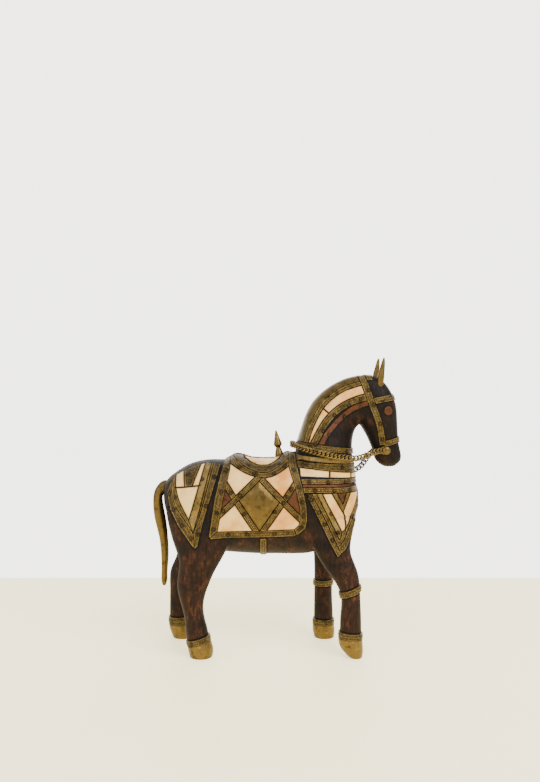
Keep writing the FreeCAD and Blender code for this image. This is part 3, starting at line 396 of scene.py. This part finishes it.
pin_spots = [points.mean(axis=0) for points in solids("brass_pins")]
PINS = KDTree(len(pin_spots))
for pin_index, pin_spot in enumerate(pin_spots):
    PINS.insert(pin_spot, pin_index)
PINS.balance()


BONE_STAINS = (("neck_bone", 0.19), ("chest_bone", 0.17), ("saddle_seat", 0.08), ("collar_bone", 0.02))


def tile_stain(node, centre):
    """How far orange stain has soaked into a tile."""
    if node.startswith("saddle_bone"):
        return 0.24 if centre.x > -0.012 else 0.08
    for name, amount in BONE_STAINS:
        if node.startswith(name):
            return amount
    return -0.06


def plate(node, slot, thickness, least=0.3, longest=0.75, crown=0.0, wobble=0.05):
    """Lays a plate again on the smooth wood: the CAD's outline, with rounded edges and real thickness."""
    work = top_patch(node, least * MM)
    refine(work, longest * MM)
    for vert in work.verts:
        spot, normal, _, _ = wood_tree.find_nearest(vert.co)
        sway = noise.noise(vert.co * 260.0) * wobble
        vert.co = spot + normal * (thickness + sway) * MM
    inner = [vert for vert in work.verts if not vert.is_boundary]
    for _ in range(2):
        bmesh.ops.smooth_vert(work, verts=inner, factor=0.5, use_axis_x=True, use_axis_y=True, use_axis_z=True)
    work.normal_update()
    samples = [vert.co.copy() for vert in work.verts if vert.is_boundary]
    rim = [edge.verts for edge in work.edges if edge.is_boundary]
    samples += [(first.co + second.co) / 2 for first, second in rim]
    near = KDTree(len(samples))
    for index, sample in enumerate(samples):
        near.insert(sample, index)
    near.balance()
    for step, inset in ((0.16, 0.10), (0.12, 0.05), (0.30, 0.0)):
        bmesh.ops.inset_region(work, faces=work.faces, thickness=step * MM, depth=inset * MM,
                               use_boundary=True, use_even_offset=False)
    for vert in work.verts:
        if not vert.is_boundary:
            vert.co -= vert.normal * 0.15 * MM
    edge = work.verts.layers.float.new("edge")
    middle = work.verts.layers.float.new("middle")
    run = work.verts.layers.float.new("run")
    stain = work.verts.layers.float.new("stain")
    plain = work.verts.layers.float.new("plain")
    pinned = work.verts.layers.float.new("pinned")
    for group in islands(work):
        spots = np.array([vert.co[:] for vert in group])
        centre, along, _ = long_axis(spots)
        distances = [near.find(vert.co)[2] / MM for vert in group]
        half_width = max(distances)
        around = (spots - np.array(centre)) / MM
        if node.startswith(("collar_", "knee_", "hoof_", "brow", "nose")):
            runs = np.arctan2(around[:, 1], around[:, 0]) * np.hypot(around[:, 0], around[:, 1]).mean()
        elif node.startswith("girth"):
            runs = np.arctan2(around[:, 1], -around[:, 2]) * np.hypot(around[:, 1], around[:, 2]).mean()
        else:
            runs = around @ np.array(along)
        soaked = tile_stain(node, centre)
        is_plain = float(node in PLAIN_NODES or any(
            node.startswith(name) and math.hypot(centre.x / MM - x, centre.z / MM - z) < 5.0
            for name, x, z in PLAIN_STRIPS))
        for vert, distance, length in zip(group, distances, runs):
            vert[stain] = soaked
            vert[plain] = is_plain
            vert[pinned] = max(0.0, min(1.0, (1.9 - PINS.find(vert.co)[2] / MM) / 0.5)) * 0.85
            vert[edge] = distance
            vert[middle] = half_width - distance
            vert[run] = length
            if crown:
                vert.co += vert.normal * crown * MM * min(1.0, distance / min(3.0, half_width))
    rim = [edge for edge in work.edges if edge.is_boundary]
    made = bmesh.ops.extrude_edge_only(work, edges=rim)
    for vert in (item for item in made["geom"] if isinstance(item, bmesh.types.BMVert)):
        spot, normal, _, _ = wood_tree.find_nearest(vert.co)
        vert.co = spot - normal * 0.1 * MM
        vert[edge] = 0.0
        vert[middle] = 9.0
    bmesh.ops.recalc_face_normals(work, faces=work.faces)
    mesh = bpy.data.meshes.new(node)
    work.to_mesh(mesh)
    work.free()
    piece = new_piece("laid_" + node, mesh, slot)
    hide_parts(node)
    return piece


THICK = {"embossed_brass": 0.75, "bone": 0.72, "copper": 0.5, "smooth_brass": 0.55, "hoof_brass": 0.8}
LAID = [node for node in nodes if node.startswith(LAID_NAMES)]
for node in sorted(LAID):
    slot = SLOTS[node]
    crown = 0.25 if slot == "bone" else 0.0
    if node == "saddle_diamond":
        crown = 0.6
    if node.startswith(("knee_", "hoof_collar")):
        crown = 0.45
    plate(node, slot, THICK[slot], crown=crown)


# ---------------------------------------------------------------- nails and chain
def lathe(work, profile, place, around=20):
    """Turns a profile of (radius, height) about +Z and puts it at a place, a matrix."""
    rings = []
    for radius, height in profile:
        if radius == 0:
            rings.append([work.verts.new(place @ Vector((0, 0, height)))])
            continue
        ring = []
        for index in range(around):
            angle = 2 * math.pi * index / around
            spot = Vector((radius * math.cos(angle), radius * math.sin(angle), height))
            ring.append(work.verts.new(place @ spot))
        rings.append(ring)
    for low, high in zip(rings, rings[1:]):
        for index in range(around):
            following = (index + 1) % around
            corners = [low[index % len(low)], low[following % len(low)], high[following % len(high)],
                       high[index % len(high)]]
            unique = list(dict.fromkeys(corners))
            if len(unique) > 2:
                work.faces.new(unique)


def facing(spot, direction):
    return Matrix.Translation(spot) @ direction.to_track_quat("Z", "Y").to_matrix().to_4x4()


NAIL_HEAD = [(0.30, -1.4), (0.30, -0.25), (0.80, -0.25), (0.80, -0.02), (0.76, 0.14), (0.62, 0.30),
             (0.40, 0.42), (0.18, 0.48), (0, 0.50)]
brass_nails = bmesh.new()
eye_nails = bmesh.new()
for points in solids("brass_pins"):
    middle, along, _ = long_axis(points)
    outward = wood_tree.find_nearest(middle)[1]
    out = along if along.dot(outward) > 0 else -along
    reach = max((Vector(point) - middle).dot(out) for point in points)
    is_eye = np.ptp(points @ np.array(out)) > 3.2 * MM
    tip = middle + out * reach
    scale = 1.2 if is_eye else 0.9
    profile = [(radius * scale * MM, height * scale * MM) for radius, height in NAIL_HEAD]
    spin = facing(tip - out * (0.45 if is_eye else 0.18) * MM, out)
    lathe(eye_nails if is_eye else brass_nails, profile, spin)
for name, work, slot in (("nails", brass_nails, "nail_brass"), ("eye_nails", eye_nails, "copper")):
    bmesh.ops.recalc_face_normals(work, faces=work.faces)
    mesh = bpy.data.meshes.new(name)
    work.to_mesh(mesh)
    work.free()
    piece = new_piece(name, mesh, slot)
    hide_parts("brass_pins")

LINK_LONG, LINK_WIDE, LINK_TWIST, LINK_WIRE = 2.0, 1.6, 0.62, 0.56
chain = bmesh.new()
rings = [long_axis(points) for points in solids("rein_chain")]
hooks = sorted(rings, key=lambda ring: -ring[0].x)[:2]
order = [min(hooks, key=lambda ring: ring[0].y)]
rest = [ring for ring in rings if ring is not order[0]]
while rest:
    following = min(rest, key=lambda ring: (ring[0] - order[-1][0]).length)
    order.append(following)
    rest.remove(following)
STEPS, SIDES = 28, 10
for index, (middle, _, _) in enumerate(order):
    hooked = index in (0, len(order) - 1)
    before = order[max(index - 1, 0)][0]
    after = order[min(index + 1, len(order) - 1)][0]
    ahead = (after - before).normalized()
    neck_side = (Vector((0, middle.y, 0)) if abs(middle.y) > 0.006 else Vector((-1, 0, 0.3))).normalized()
    if middle.x < 0.03:
        neck_side = (middle - Vector((0.033, 0, middle.z))).normalized()
    flat = (neck_side - ahead * neck_side.dot(ahead)).normalized()
    wide = ahead.cross(flat).normalized()
    long_r, wide_r, twist = (LINK_LONG, LINK_WIDE, LINK_TWIST) if not hooked else (2.45, 2.3, 0.0)
    loop = []
    for step in range(STEPS):
        angle = 2 * math.pi * step / STEPS
        loop.append(middle + (ahead * long_r * math.cos(angle) + wide * wide_r * math.sin(angle)
                              + flat * twist * math.sin(2 * angle)) * MM)
    tube = []
    for step, spot in enumerate(loop):
        tangent = (loop[(step + 1) % STEPS] - loop[step - 1]).normalized()
        across = tangent.cross(flat).normalized()
        lift = across.cross(tangent)
        ring = []
        for side in range(SIDES):
            turn = 2 * math.pi * side / SIDES
            outward = across * math.cos(turn) + lift * math.sin(turn)
            ring.append(chain.verts.new(spot + outward * LINK_WIRE * MM))
        tube.append(ring)
    for step in range(STEPS):
        here, following = tube[step], tube[(step + 1) % STEPS]
        for side in range(SIDES):
            after_side = (side + 1) % SIDES
            chain.faces.new((here[side], here[after_side], following[after_side], following[side]))
bmesh.ops.recalc_face_normals(chain, faces=chain.faces)
mesh = bpy.data.meshes.new("rein_links")
chain.to_mesh(mesh)
chain.free()
rein = new_piece("rein_links", mesh, "chain_brass", body="reins")
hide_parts("rein_chain")

# ---------------------------------------------------------------- carried-over metal
for node in nodes:
    if node.startswith(("ear_", "tail", "finial", "bit_stud", "eye_", "hoof_sleeve")):
        thing = nodes[node]
        thing.data.materials.clear()
        thing.data.materials.append(PAINTS[SLOTS[node]])
        if not node.startswith(("ear_", "tail")):
            weld = thing.modifiers.new("weld", "WELD")
            weld.merge_threshold = 0.002 * MM
            round_off = thing.modifiers.new("rounded", "BEVEL")
            round_off.width = (0.3 if node.startswith(("finial", "hoof")) else 0.12) * MM
            round_off.segments = 3
            round_off.limit_method = "ANGLE"
            round_off.angle_limit = math.radians(35)

# ---------------------------------------------------------------- surroundings
floor_mesh = bpy.data.meshes.new("floor")
work = bmesh.new()
bmesh.ops.create_grid(work, x_segments=4, y_segments=4, size=FLOOR_REACH)
# Its back edge is the far edge of the table.
bmesh.ops.translate(work, verts=work.verts, vec=(0, TABLE_EDGE - FLOOR_REACH, 0))
work.to_mesh(floor_mesh)
work.free()
floor = bpy.data.objects.new("floor", floor_mesh)
bpy.context.scene.collection.objects.link(floor)
paint = Paint("floor_pale")
paint.shader.inputs["Emission Color"].default_value = (1.0, 0.88, 0.50, 1.0)
paint.shader.inputs["Emission Strength"].default_value = 1.3
soft = paint.grain(60.0, detail=2.0)
cream = paint.ramp(soft, [(0.3, (0.80, 0.71, 0.45)), (0.7, (0.83, 0.74, 0.48))])
floor_mesh.materials.append(paint.finish(cream, 0.6, paint.bump(soft, 0.05, 0.2)))
wall = bpy.data.objects.new("wall", floor_mesh.copy())
wall.data.materials.clear()
paint = Paint("wall_pale")
paint.shader.inputs["Emission Color"].default_value = (1.0, 0.97, 0.92, 1.0)
paint.shader.inputs["Emission Strength"].default_value = 3.0
soft = paint.grain(90.0, detail=2.0)
white = paint.ramp(soft, [(0.3, (0.86, 0.855, 0.84)), (0.7, (0.89, 0.885, 0.87))])
wall.data.materials.append(paint.finish(white, 0.8, paint.bump(soft, 0.05, 0.2)))
wall.rotation_euler = (math.radians(90), 0, 0)
wall.location = (0, 3.0, 2.9)  # far enough back to leave room for views from behind
bpy.context.scene.collection.objects.link(wall)

world = bpy.data.worlds.new("studio")
bpy.context.scene.world = world
world.use_nodes = True
world.node_tree.nodes["Background"].inputs["Color"].default_value = (0.97, 0.98, 1.0, 1.0)
world.node_tree.nodes["Background"].inputs["Strength"].default_value = 1.25


def softbox(name, place, aim, size, power, tint=(1.0, 1.0, 1.0)):
    light = bpy.data.lights.new(name, "AREA")
    light.shape = "RECTANGLE"
    light.size = size[0]
    light.size_y = size[1]
    light.energy = power
    light.color = tint
    lamp = bpy.data.objects.new(name, light)
    bpy.context.scene.collection.objects.link(lamp)
    lamp.location = place
    lamp.rotation_euler = (Vector(aim) - Vector(place)).to_track_quat("-Z", "Y").to_euler()


softbox("key", (0.55, -0.75, 1.0), (0, 0, 0.09), (0.9, 0.9), 26.0, (1.0, 0.985, 0.96))
softbox("fill", (-0.9, -0.8, 0.6), (0, 0, 0.1), (1.0, 1.0), 9.0)

camera_data = bpy.data.cameras.new("camera")
camera_data.sensor_fit = "VERTICAL"
camera_data.sensor_height = 36.0
camera_data.lens = LENS
camera = bpy.data.objects.new("camera", camera_data)
bpy.context.scene.collection.objects.link(camera)
camera.location = CAMERA_SPOT
camera.rotation_euler = (math.radians(90), 0, 0)
bpy.context.scene.camera = camera
